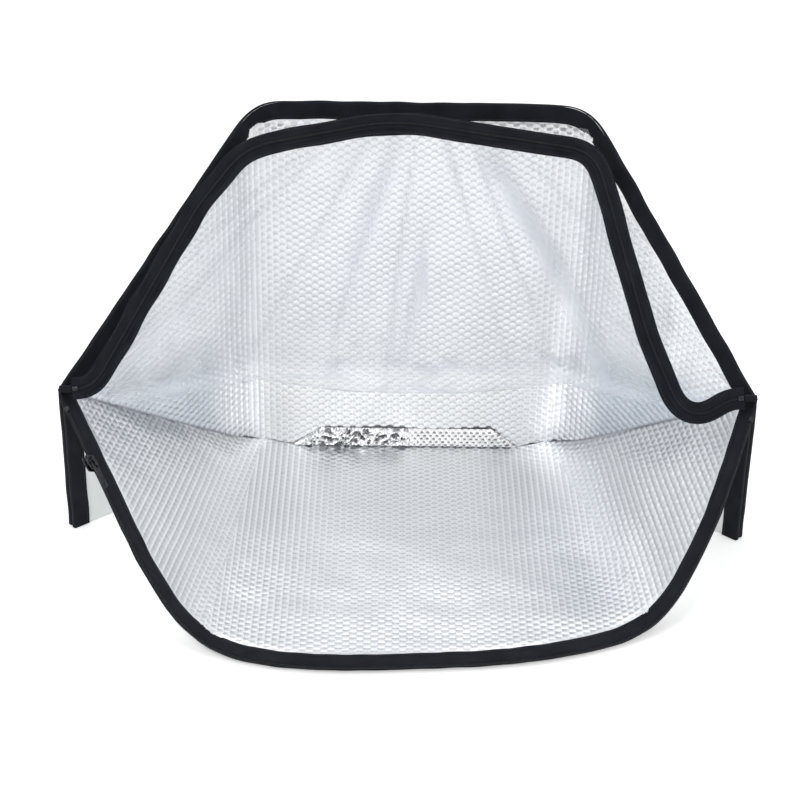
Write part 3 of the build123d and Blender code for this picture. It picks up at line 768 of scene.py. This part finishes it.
# Base rim binding
# One tape round the flaps and the front edge of the floor, from corner to
# corner, with its ends tucked against the wings.
downhill = {"left": (flap_arc_left[0] - tip_left).normalized(),
            "right": (flap_arc_right[0] - tip_right).normalized()}
rim_runs = [([tip_left - downhill["left"] * overrun] + flap_arc_left, flap_face_left),
            (floor_arc_left[::-1] + floor_arc_right, floor_face),
            (flap_arc_right[::-1] + [tip_right - downhill["right"] * overrun], flap_face_right)]
base_line = edge_line(rim_runs, (0, 0, 0.02), reach=12)
base_length = along_line(base_line[0])[-1]
base_cuts = [(fold_left + wing_face_left * 0.0015, wing_face_left),
             (fold_right + wing_face_right * 0.0015, wing_face_right)]
base_binding = tape("base_rim_binding", base_line, ribbon_ring, base_cuts, 0.0003, 67)
base_thread = stitches("base_rim_stitches", base_line, ((stitch_row, tape_outside),), base_cuts)
dress(base_binding, dark_ribbon, "binding",
      "base_rim_front_binding", "base_rim_left_binding", "base_rim_right_binding")
dress(base_thread, thread_dark, "binding")

# Base zip
# A coil zip half sewn on top of the base rim: a woven tape with a nylon coil
# along its outer edge, and a crimped metal stop at each end.
zip_level = 0.0017
zip_inset = overrun + 0.021
stop_length = 0.005
coil_pitch, coil_wide, coil_high = 0.0015, 0.00115, 0.00085
wire_radius, wire_sides, turn_steps = 0.00034, 5, 12


def zip_coil(name, line, out_at, up_at):
    """A flattened coil of nylon wire along an edge."""
    at = along_line(line[0])
    where = np.linspace(0, at[-1], int(at[-1] / coil_pitch * turn_steps))
    spots, out, up = (spread_out(where, rows, at) for rows in line)
    turn = (where / coil_pitch * 2 * math.pi)[:, None]
    heart = spots + out * (out_at + coil_wide * np.cos(turn)) + up * (up_at + coil_high * np.sin(turn))
    heading = np.gradient(heart, axis=0)
    heading /= np.linalg.norm(heading, axis=1)[:, None]
    side = np.cross(heading, out * np.cos(turn) + up * np.sin(turn))
    side /= np.linalg.norm(side, axis=1)[:, None]
    radial = np.cross(side, heading)
    place = np.stack([heart + wire_radius * (radial * math.cos(a) + side * math.sin(a))
                      for a in np.linspace(0, 2 * math.pi, wire_sides, endpoint=False)], 1)
    uvs = np.repeat(np.stack((where, 0 * where), 1), wire_sides, 0)
    return closed_up(mesh_piece(name, place.reshape(-1, 3), tube_faces(len(where), wire_sides), uvs))


coil_nylon, tree, shader = paint("coil_nylon")
scuff = blotches(tree, space_spot(tree), 160.0, 3.0)
tone = shades(tree, scuff, (0.3, (0.005, 0.006, 0.009)), (0.75, (0.014, 0.016, 0.021)))
feed(shader, Base_Color=tone, Roughness=0.42, Specular_IOR_Level=0.3)

stop_metal, tree, shader = paint("stop_metal")
wear_and_crease_shade = blotches(tree, space_spot(tree), 300.0, 4.0)
tone = shades(tree, wear_and_crease_shade, (0.35, (0.026, 0.027, 0.031)), (0.7, (0.070, 0.072, 0.078)))
dull_and_shade = shades(tree, wear_and_crease_shade, (0.3, (0.28,) * 3), (0.7, (0.45,) * 3))
feed(shader, Base_Color=tone, Roughness=dull_and_shade, Metallic=1.0)

zip_line = stretch(base_line, zip_inset, base_length - zip_inset, 0.004)
zip_ring = section_ring(-0.009, 0.003, 0.0012, 0.0022, 0.0003, 0.0003)
zip_tape = tape("base_zip_tape", zip_line, zip_ring, (), 0.0002, 71)
coil_line = stretch(base_line, zip_inset + stop_length, base_length - zip_inset - stop_length, 0.004)
base_coil = zip_coil("base_zip_coil", coil_line, 0.0045, zip_level)
for piece, finish, kind in ((zip_tape, dark_ribbon, "zip_tape"), (base_coil, coil_nylon, "zip_coil")):
    dress(piece, finish, kind, *[f"base_rim_{run}_{kind}" for run in ("front", "left", "right")])
stop_ring = section_ring(0.003, 0.006, zip_level - 0.0021, zip_level + 0.0021, 0.0009, 0.0009)
for side, begin in (("left", zip_inset), ("right", base_length - zip_inset - stop_length)):
    stop = tape(f"base_zip_{side}_stop", stretch(base_line, begin, begin + stop_length, 0.001),
                stop_ring, (), 0, 1)
    dress(stop, stop_metal, "zip_metal", "base_zip_end_stops")

# Zip slider and pull tab
# Die-cast slider of two plates round a wedge, parked near the left corner, with
# a stamped pull tab hung in its bridge.
slider_at = overrun + 0.090
slider_spots = stretch(base_line, slider_at - 0.001, slider_at + 0.001, 0.001)
slider_middle, slider_out, slider_up = (Vector(rows[1]) for rows in slider_spots)
post_out = 0.00785
slider_frame = Matrix((slider_out, slider_up, slider_out.cross(slider_up))).transposed().to_4x4()
slider_frame.translation = slider_middle


def plate(shape, outline, low, high, rounding, holes=()):
    """Add a stamped plate (out, along) between two heights, its edges rounded."""
    loops = []
    for loop in (outline, *holes):
        verts = [shape.verts.new(slider_frame @ Vector((x, low, z))) for x, z in loop]
        loops += [shape.edges.new((a, b)) for a, b in zip(verts, verts[1:] + verts[:1])]
    flat = bmesh.ops.triangle_fill(shape, use_beauty=True, edges=loops)
    faces = [item for item in flat["geom"] if isinstance(item, bmesh.types.BMFace)]
    raised = bmesh.ops.extrude_face_region(shape, geom=faces)["geom"]
    top = [item for item in raised if isinstance(item, bmesh.types.BMVert)]
    bmesh.ops.translate(shape, verts=top, vec=slider_up * (high - low))
    faces += [item for item in raised if isinstance(item, bmesh.types.BMFace)]
    rims = [edge for face in faces for edge in face.edges if abs(edge.calc_face_angle(0)) > 1.2]
    rims = list(dict.fromkeys(rims))
    bmesh.ops.bevel(shape, geom=rims, offset=rounding, segments=2, affect="EDGES", profile=0.5)


def circle(x, z, radius, count=16):
    """Points round a hole."""
    turns = np.linspace(0, 2 * math.pi, count, endpoint=False)
    return [(x + radius * math.cos(a), z + radius * math.sin(a)) for a in turns]


def finished(name, shape):
    """Turn a built-up shape into a piece."""
    bmesh.ops.recalc_face_normals(shape, faces=shape.faces[:])
    mesh = bpy.data.meshes.new(name)
    shape.to_mesh(mesh)
    shape.free()
    mesh.shade_smooth()
    mesh.set_sharp_from_angle(angle=math.radians(40))
    piece = bpy.data.objects.new(name, mesh)
    bpy.context.scene.collection.objects.link(piece)
    return piece


body = bmesh.new()
wide, narrow, half_long = 0.0063, 0.0046, 0.008
plate_low, plate_high = 0.00155, 0.00310
shield = rounded_line([(post_out - wide, half_long, 0.0022), (post_out - wide, 0.001, 0.004),
                       (post_out - narrow, -half_long, 0.0018), (post_out + narrow, -half_long, 0.0018),
                       (post_out + wide, 0.001, 0.004), (post_out + wide, half_long, 0.0022)], closed=True)
plate(body, shield, zip_level + plate_low, zip_level + plate_high, 0.0004)
plate(body, shield, zip_level - plate_high, zip_level - plate_low, 0.0004)
wedge = rounded_line([(post_out - 0.0014, 0.0075, 0.0006), (post_out, 0.0022, 0.0005),
                      (post_out + 0.0014, 0.0075, 0.0006)], closed=True)
plate(body, wedge, zip_level - 0.0016, zip_level + 0.0016, 0.0001)
for side in (-1, 1):
    out = post_out + side * 0.0057
    lip = [(out - 0.0004, -0.0035), (out + 0.0004, -0.0035), (out + 0.0004, 0.0055), (out - 0.0004, 0.0055)]
    plate(body, lip, zip_level + 0.0009, zip_level + 0.0017, 0.00015)
    plate(body, lip, zip_level - 0.0017, zip_level - 0.0009, 0.00015)
slider_body = finished("zip_slider_body", body)
arch_low, arch_high = zip_level + 0.0030, zip_level + 0.0062
arch = rounded_line([(-0.0052, arch_low, 0), (-0.0052, arch_high, 0.0016), (0.0052, arch_high, 0.0016),
                     (0.0052, arch_low, 0)])
arch_spots = np.array([tuple(slider_frame @ Vector((post_out, up, along))) for along, up in arch])
arch_up = np.cross(np.gradient(arch_spots, axis=0), np.array(slider_out))
arch_up = arch_up / np.linalg.norm(arch_up, axis=1)[:, None]
arch_line = (arch_spots, np.tile(np.array(slider_out), (len(arch), 1)), arch_up)
arch_ring = section_ring(-0.0013, 0.0013, -0.0006, 0.0006, 0.0004, 0.0004)
bridge = tape("zip_slider_bridge", arch_line, arch_ring, (), 0, 1)
for piece in (slider_body, bridge):
    dress(piece, stop_metal, "zip_metal", "zip_slider", body="slider")

# The bar of the tab's eye lies just above the slider's upper plate
plate_thick, bar_gap, bar_radius = 0.0016, 0.00035, 0.0008
bar_up = zip_level + plate_low + plate_thick + bar_gap + bar_radius
tab_half_thick = 0.0007
tab = bmesh.new()
tail = rounded_line([(post_out - 0.0045, 0.0006, 0.0010), (post_out - 0.0034, -0.012, 0.010),
                     (post_out - 0.0045, -0.032, 0.0042), (post_out + 0.0045, -0.032, 0.0042),
                     (post_out + 0.0034, -0.012, 0.010), (post_out + 0.0045, 0.0006, 0.0010)],
                    closed=True, steps=6)
slot = rounded_line([(post_out - 0.0018, -0.0008, 0.0004), (post_out - 0.0018, -0.0077, 0.0012),
                     (post_out + 0.0018, -0.0077, 0.0012), (post_out + 0.0018, -0.0008, 0.0004)], closed=True)
plate(tab, tail, bar_up - tab_half_thick, bar_up + tab_half_thick, 0.0003,
      [slot, circle(post_out, -0.0272, 0.0020)])
dress(finished("pull_tab", tab), stop_metal, "zip_metal", "zip_pull_tab", body="pull_tab")

# Cover edge
# The film's free edge is bound in the same dark tape, wide and soft, with the
# other zip half sewn along its middle. It leans back, open, with its two ends
# tied to the pinched corners.
hinge_middle = Vector((0, 0.0310965, 0.168851))
lean = math.radians(60)
cover_up = Vector((0, math.cos(lean), math.sin(lean)))
cover_face = Vector((0, -math.sin(lean), math.cos(lean)))
cover_half = 0.334
cover_bends = ((-0.940, 0.0, 0.022), (-0.635, 0.182, 0.150), (-0.494, 0.242, 0.060), (-0.060, 0.271, 0.200),
               (0.545, 0.243, 0.035), (0.707, 0.062, 0.120), (0.835, -0.033, 0.026), (0.955, 0.0, 0.020))
cover_corners = ([(-cover_half, 0.0, 0)] + [(x * cover_half, s, bend) for x, s, bend in cover_bends]
                 + [(cover_half, 0.0, 0)])
cover_flat = rounded_line(cover_corners, steps=10)
cover_points = [hinge_middle + Vector((x, 0, 0)) + cover_up * s for x, s in cover_flat]
cover_line = edge_line([(cover_points, cover_face)], hinge_middle, reach=3)
cover_length = along_line(cover_line[0])[-1]


def cover_part(trim):
    """The cover's edge, shortened at both ends."""
    return stretch(cover_line, trim, cover_length - trim, 0.004)


band_ring = section_ring(-0.011, 0.011, -0.0015, 0.0015, 0.0012, 0.0012)
cover_band = tape("cover_edge_band", cover_line, band_ring, (), 0.0007, 83)
cover_thread = stitches("cover_edge_stitches", cover_part(0.004), ((-0.0092, 0.0015), (0.0092, 0.0015)))
cover_tape_ring = section_ring(-0.005, 0.005, 0.0016, 0.0025, 0.0003, 0.0003)
cover_tape = tape("cover_zip_woven_tape", cover_part(0.0005), cover_tape_ring, (), 0.0002, 89)
cover_coil = zip_coil("cover_zip_nylon_coil", cover_part(0.0062), 0, 0.0037)
dress(cover_band, dark_ribbon, "binding", "cover_edge_left", "cover_edge_top", "cover_edge_right",
      body="cover")
dress(cover_thread, thread_dark, "binding", body="cover")
dress(cover_tape, dark_ribbon, "zip_tape", "cover_zip_tape", body="cover")
dress(cover_coil, coil_nylon, "zip_coil", "cover_zip_coil", body="cover")
cover_stop_ring = section_ring(-0.0024, 0.0024, 0.0024, 0.0048, 0.0008, 0.0008)
for side, begin in (("left", 0.001), ("right", cover_length - 0.006)):
    stop = tape(f"cover_zip_{side}_stop", stretch(cover_line, begin, begin + stop_length, 0.001),
                cover_stop_ring, (), 0, 1)
    dress(stop, stop_metal, "zip_metal", "cover_zip_end_stops", body="cover")

# Corner tabs
# A short roll of binding tape at each pinched corner, sewn down along its lower
# side. The ends of the cover edge are tied to it and turn about it.
to_axis = Vector((0, hinge_middle.y - tip_left.y, hinge_middle.z - tip_left.z)).normalized()
roll_radius, tail_reach, rings = 0.0034, 0.0088, 7
roll = [(-tail_reach, -0.0016), (-roll_radius, -0.0015)]
roll += [(roll_radius * math.cos(a), roll_radius * math.sin(a)) for a in np.linspace(-2.70, 2.70, 18)]
roll += [(-roll_radius, 0.0015), (-tail_reach, 0.0016)]
tab_begin, tab_end = 0.3344, 0.3469
for side, sign in (("left", -1), ("right", 1)):
    inner, outer = (hinge_middle + Vector((sign * reach, 0, 0)) for reach in (tab_begin, tab_end))
    line = (np.linspace(inner, outer, rings), np.tile(np.array(to_axis), (rings, 1)),
            np.tile(np.array(to_axis.cross(Vector((1, 0, 0)))), (rings, 1)))
    tab = tape(f"{side}_rolled_tab", line, np.array(roll), (), 0.0002, 91)
    dress(tab, dark_ribbon, "binding", f"{side}_corner_tab")

# Fold strip
# A strip of bare foil taped over the fold at the foot of the back wall. It is
# crumpled, most of all on the left.
strip_across, strip_up = 300, 30
strip_height, strip_half, strip_slant = 0.0235, 0.125, 0.031


def between_values(low, high, share):
    """A value part of the way from one to another."""
    return low + (high - low) * share


a, b = (g.ravel() for g in np.meshgrid(np.linspace(-1, 1, strip_across), np.linspace(0, 1, strip_up),
                                       indexing="ij"))
x = a * (strip_half - strip_slant * b)
z = sheet_top + 0.0008 + strip_height * b
folds = np.abs(sheet_waves(0.8 * x, z, 101, 0.011)) + 0.8 * np.abs(sheet_waves(x, 0.8 * z, 103, 0.0055))
dash_high, dash_long = 0.0040, 0.0068
dashes = (np.abs(np.sin(z * math.pi / dash_high))
          * np.abs(np.sin(x * math.pi / dash_long + 1.5 * np.floor(z / dash_high))))
rows = 1.0 - eased(dashes, 0.45, 0.85)
left_share = np.clip(0.75 - 5.0 * a, 0, 1)
ridges = between_values(rows, 1.25 - 0.80 * folds, 0.20 + 0.75 * left_share)
facets = np.clip(ridges, -0.6, 1) * (0.35 + 0.65 * left_share)
loose = np.clip(6 * np.minimum(b, 1 - b) + 0.1, 0, 1) * np.clip((1 - np.abs(a)) * 12, 0, 1)
strip_gap, strip_puff, strip_thick = 0.0019, 0.0030, 0.0004
y = wall_plane - strip_gap - strip_puff * loose * (1 + facets)
front = np.stack((x, y, z), 1)
behind = front + np.array((0, strip_thick, 0))
count = len(x)
quads = grid_faces(strip_across, strip_up)
rim = np.concatenate((np.arange(strip_across) * strip_up,
                      (strip_across - 1) * strip_up + np.arange(1, strip_up),
                      (np.arange(strip_across - 1) * strip_up + strip_up - 1)[::-1],
                      np.arange(1, strip_up - 1)[::-1]))
after = np.roll(rim, -1)
faces = np.concatenate((quads, quads[:, ::-1] + count, np.stack((rim, after, after + count, rim + count), 1)))
fold_strip = closed_up(mesh_piece("crumpled_fold_strip", np.concatenate((front, behind)), faces.tolist(),
                                  np.tile(np.stack((x, z), 1), (2, 1))))
mark(fold_strip, "pattern", np.tile(np.clip(0.9 * ridges, 0, 1), 2))
bare_foil, tree, shader = paint("bare_foil")
# Painted shade and highlight: the bare foil is painted dark along its crumple folds and in short dashes, and
# bright on the ridges between them.
crumple_shading = written(tree, "pattern")
tone = shades(tree, crumple_shading, (0.05, (0.20, 0.205, 0.215)), (0.40, (0.55, 0.56, 0.57)),
              (0.8, (0.93, 0.935, 0.94)))
dull_and_shade = shades(tree, crumple_shading, (0.1, (0.34,) * 3), (0.8, (0.20,) * 3))
feed(shader, Base_Color=tone, Roughness=dull_and_shade, Metallic=1.0)
dress(fold_strip, bare_foil, "foil", "fold_foil_strip")

# Clear cover film
# One soft sheet of clear film. It is sewn inside the back rim, hangs down before
# the wall and the wings, turns up in a loose loop and runs to the cover edge.
rim_fall = 0.019
rim_high, rim_low = 0.408, 0.160
loop_level, loop_level_side = 0.112, 0.150      # how high the film's loop hangs
loop_wide, loop_wide_side = 0.044, 0.009
film_gap = 0.0048
film_step = 0.0035
rear_steps, loop_steps, front_steps = 44, 12, 46


def film_loop(x):
    """Points (y, z) of the hanging film at one place across, from the rim to the cover."""
    face, fold, top = ((wing_face_right, fold_right, top_right) if x >= 0
                       else (wing_face_left, fold_left, top_left))
    half = abs(x)
    down = max(0, (half - abs(top.x)) / (corner_out - abs(top.x)))
    rim_z = between_values(rim_high, rim_low, down) - rim_fall * (1 + min(1, 8 * down))
    spread = min(1, half / corner_out)
    low_z = between_values(loop_level, loop_level_side, spread**2)
    width = between_values(loop_wide, loop_wide_side, spread**2)

    def wall_y(z):
        """How far back the film hangs before the wall or the wing."""
        on_wing = fold.y - (face.x * (x - fold.x) + face.z * (z - fold.z)) / face.y
        return min(wall_plane, on_wing) - film_gap / abs(wing_face_right.y if half > abs(fold.x) else 1)

    s = np.interp(x, *cover_sorted)
    hang = hinge_middle + cover_up * s - cover_face * 0.0022
    back_top, back_low = wall_y(rim_z), wall_y(low_z)
    front_low = back_low - width + 0.003
    t = np.linspace(0, 1, rear_steps)
    rear = np.stack((between_values(back_top, back_low, t), between_values(rim_z, low_z, t)), 1)
    turn = np.linspace(0, math.pi, loop_steps + 2)[1:-1]
    middle, radius = (back_low + front_low) / 2, (back_low - front_low) / 2
    loop = np.stack((middle + radius * np.cos(turn), low_z - radius * np.sin(turn)), 1)
    t = np.linspace(0, 1, front_steps)
    front = np.stack((between_values(front_low, hang.y, t), between_values(low_z, hang.z, t)), 1)
    return np.concatenate((rear, loop, front))


inner = cover_line[0] - cover_line[1] * 0.008
rising = np.concatenate(([True], np.diff(np.maximum.accumulate(inner[:, 0])) > 0))
cover_sorted = (inner[rising, 0], ((inner - np.array(hinge_middle)) @ np.array(cover_up))[rising])
stage_of = np.concatenate((np.linspace(0, 1, rear_steps), np.full(loop_steps, 1.0),
                           np.linspace(1, 0, front_steps)))
is_front = np.concatenate((np.zeros(rear_steps + loop_steps), np.ones(front_steps)))


def film_piece(name, low, high):
    """One stretch of the film between two places across."""
    xs = np.linspace(low, high, round((high - low) / film_step))
    rows = np.stack([film_loop(x) for x in xs])
    place = np.concatenate((np.broadcast_to(xs[:, None, None], rows.shape[:2] + (1,)), rows), 2)
    wide, tall = rows.shape[:2]
    run = np.stack([along_line(row) for row in rows])
    normal = np.cross(np.gradient(place, axis=0), np.gradient(place, axis=1))
    normal /= np.linalg.norm(normal, axis=2)[:, :, None]
    u, v, z = place[:, :, 0], run, place[:, :, 2]
    soft = np.clip(stage_of[None, :] * 5, 0, 1)
    # Folds fan out from the top's middle and from the two ends of the cover's edge
    fold_fields = []
    for centre_x, centre_z, pull, spread, salt in (
            (0.02, 0.47, 0.33, 0.9, 211), (-0.345, 0.150, 0.30, 0.30, 223), (0.330, 0.135, 0.30, 0.26, 227)):
        away = np.hypot(u - centre_x, z - centre_z)
        fan = np.arctan2(u - centre_x, z - centre_z)
        near = np.clip(1.15 - away / spread, 0, 1)
        between = np.abs(sheet_waves(pull * fan, 0.10 * away, salt, 0.075)) * 1.7
        fold_fields.append(near * (1 - np.clip(between, 0, 1)))
    low_part = np.clip((stage_of[None, :] - 0.70) / 0.30, 0, 1)
    level_folds = low_part * (1 - np.clip(np.abs(sheet_waves(0.25 * u, v, 229, 0.045)) * 1.8, 0, 1))
    crumple = np.abs(sheet_waves(u, v, 231, 0.030)) + 0.5 * np.abs(sheet_waves(u, v, 233, 0.014))
    folds = np.max(fold_fields + [level_folds], axis=0)
    front_fold, rear_fold, crumple_high = 0.0042, 0.0016, 0.0011
    wave = np.where(is_front[None, :] > 0, front_fold * folds + crumple_high * low_part * crumple,
                    rear_fold * folds)
    room = np.clip(1 - np.abs(u) / 0.36, 0.25, 1)
    place = place + normal * (wave * soft * room)[:, :, None]
    uvs = np.stack((u, v), 2).reshape(-1, 2)
    piece = mesh_piece(name, place.reshape(-1, 3), grid_faces(wide, tall), uvs)
    mark(piece, "folds", np.clip((folds - 0.45) / 0.5, 0, 1) * soft)
    return piece, float(np.sum(np.diff(xs)[:, None] * np.diff(run, axis=1)[:-1]))


clear_sheet, tree, shader = paint("clear_sheet")
haze = blotches(tree, cloth_spot(tree), 16.0, 4.0, Distortion=0.6)
facing = wire(tree, "ShaderNodeLayerWeight", Blend=0.32).outputs["Facing"]
thin = shades(tree, haze, (0.35, (0.06,) * 3), (0.75, (0.18,) * 3))
# Painted shade: along its marked folds the film is painted darker and bluer, and less clear.
fold_shade = written(tree, "folds")
edge_on = reckon(tree, "MULTIPLY_ADD", facing, 0.34, thin)
cover_amount = reckon(tree, "MULTIPLY_ADD", fold_shade, 0.30, edge_on, use_clamp=True)
tint_and_fold_shade = shades(tree, fold_shade, (0.1, (0.86, 0.89, 0.94)), (0.9, (0.66, 0.70, 0.78)))
feed(shader, Base_Color=tint_and_fold_shade, Roughness=0.16, Specular_IOR_Level=0.8, Alpha=cover_amount)
# The film goes over from the oven to the cover between start and end, which are given here but not used
blend_begin, blend_end = 0.0125, 0.0220
left_blend = (fold_left + wing_face_left * blend_begin, fold_left + wing_face_left * blend_end)
right_blend = (fold_right + wing_face_right * blend_begin, fold_right + wing_face_right * blend_end)
for name, low, high, (start, end) in (
        ("cover_film_left", -0.300, -0.160, left_blend),
        ("cover_film_middle", -0.160, 0.170, ((0, 0.1780, 0.400), (0, 0.1645, 0.400))),
        ("cover_film_right", 0.170, 0.262, right_blend)):
    piece, area = film_piece(name, low, high)
    piece.data.materials.append(clear_sheet)
    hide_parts("clear_cover_film")
    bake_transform(piece)

# Stage
# A plain white floor and background under soft light.
half_ground = 6
ground_spots = [(x * half_ground, y * half_ground, -0.0005) for x, y in ((-1, -1), (1, -1), (1, 1), (-1, 1))]
stage = mesh_piece("ground", ground_spots, [(0, 1, 2, 3)])
stage_white, tree, shader = paint("stage_white")
tree.nodes.remove(shader)
white = wire(tree, "ShaderNodeBsdfDiffuse", Color=(0.92, 0.92, 0.92, 1))
lit = wire(tree, "ShaderNodeEmission", Color=(1, 1, 1, 1), Strength=0.35)
both = wire(tree, "ShaderNodeAddShader", _0=white.outputs[0], _1=lit.outputs[0])
tree.links.new(both.outputs[0], tree.nodes["Material Output"].inputs["Surface"])
stage.data.materials.append(stage_white)

world = bpy.data.worlds.new("studio")
bpy.context.scene.world = world
world.use_nodes = True
tree = world.node_tree
# The background is white where the camera or a reflection sees it, and lights less
ray = wire(tree, "ShaderNodeLightPath")
seen = reckon(tree, "MAXIMUM", ray.outputs["Is Camera Ray"], ray.outputs["Is Glossy Ray"])
seen = reckon(tree, "MAXIMUM", seen, ray.outputs["Is Transmission Ray"])
level = wire(tree, "ShaderNodeMapRange", Value=seen, To_Min=0.62, To_Max=1.0)
feed(tree.nodes["Background"], Color=(1, 1, 1, 1), Strength=level.outputs["Result"])
bpy.context.scene.view_settings.view_transform = "Standard"
light_aim = Vector((0, 0, 0.1))
for name, spot, size, power in (("key_light", (-1.3, -1.2, 2.2), 1.4, 24),
                                ("fill_light", (1.8, -0.9, 1.7), 1.6, 12),
                                ("top_light", (0.1, 0.5, 2.6), 1.8, 14)):
    lamp = bpy.data.lights.new(name, "AREA")
    lamp.size = size
    lamp.energy = power
    light = bpy.data.objects.new(name, lamp)
    light.location = spot
    light.rotation_euler = (light_aim - Vector(spot)).to_track_quat("-Z", "Y").to_euler()
    bpy.context.scene.collection.objects.link(light)
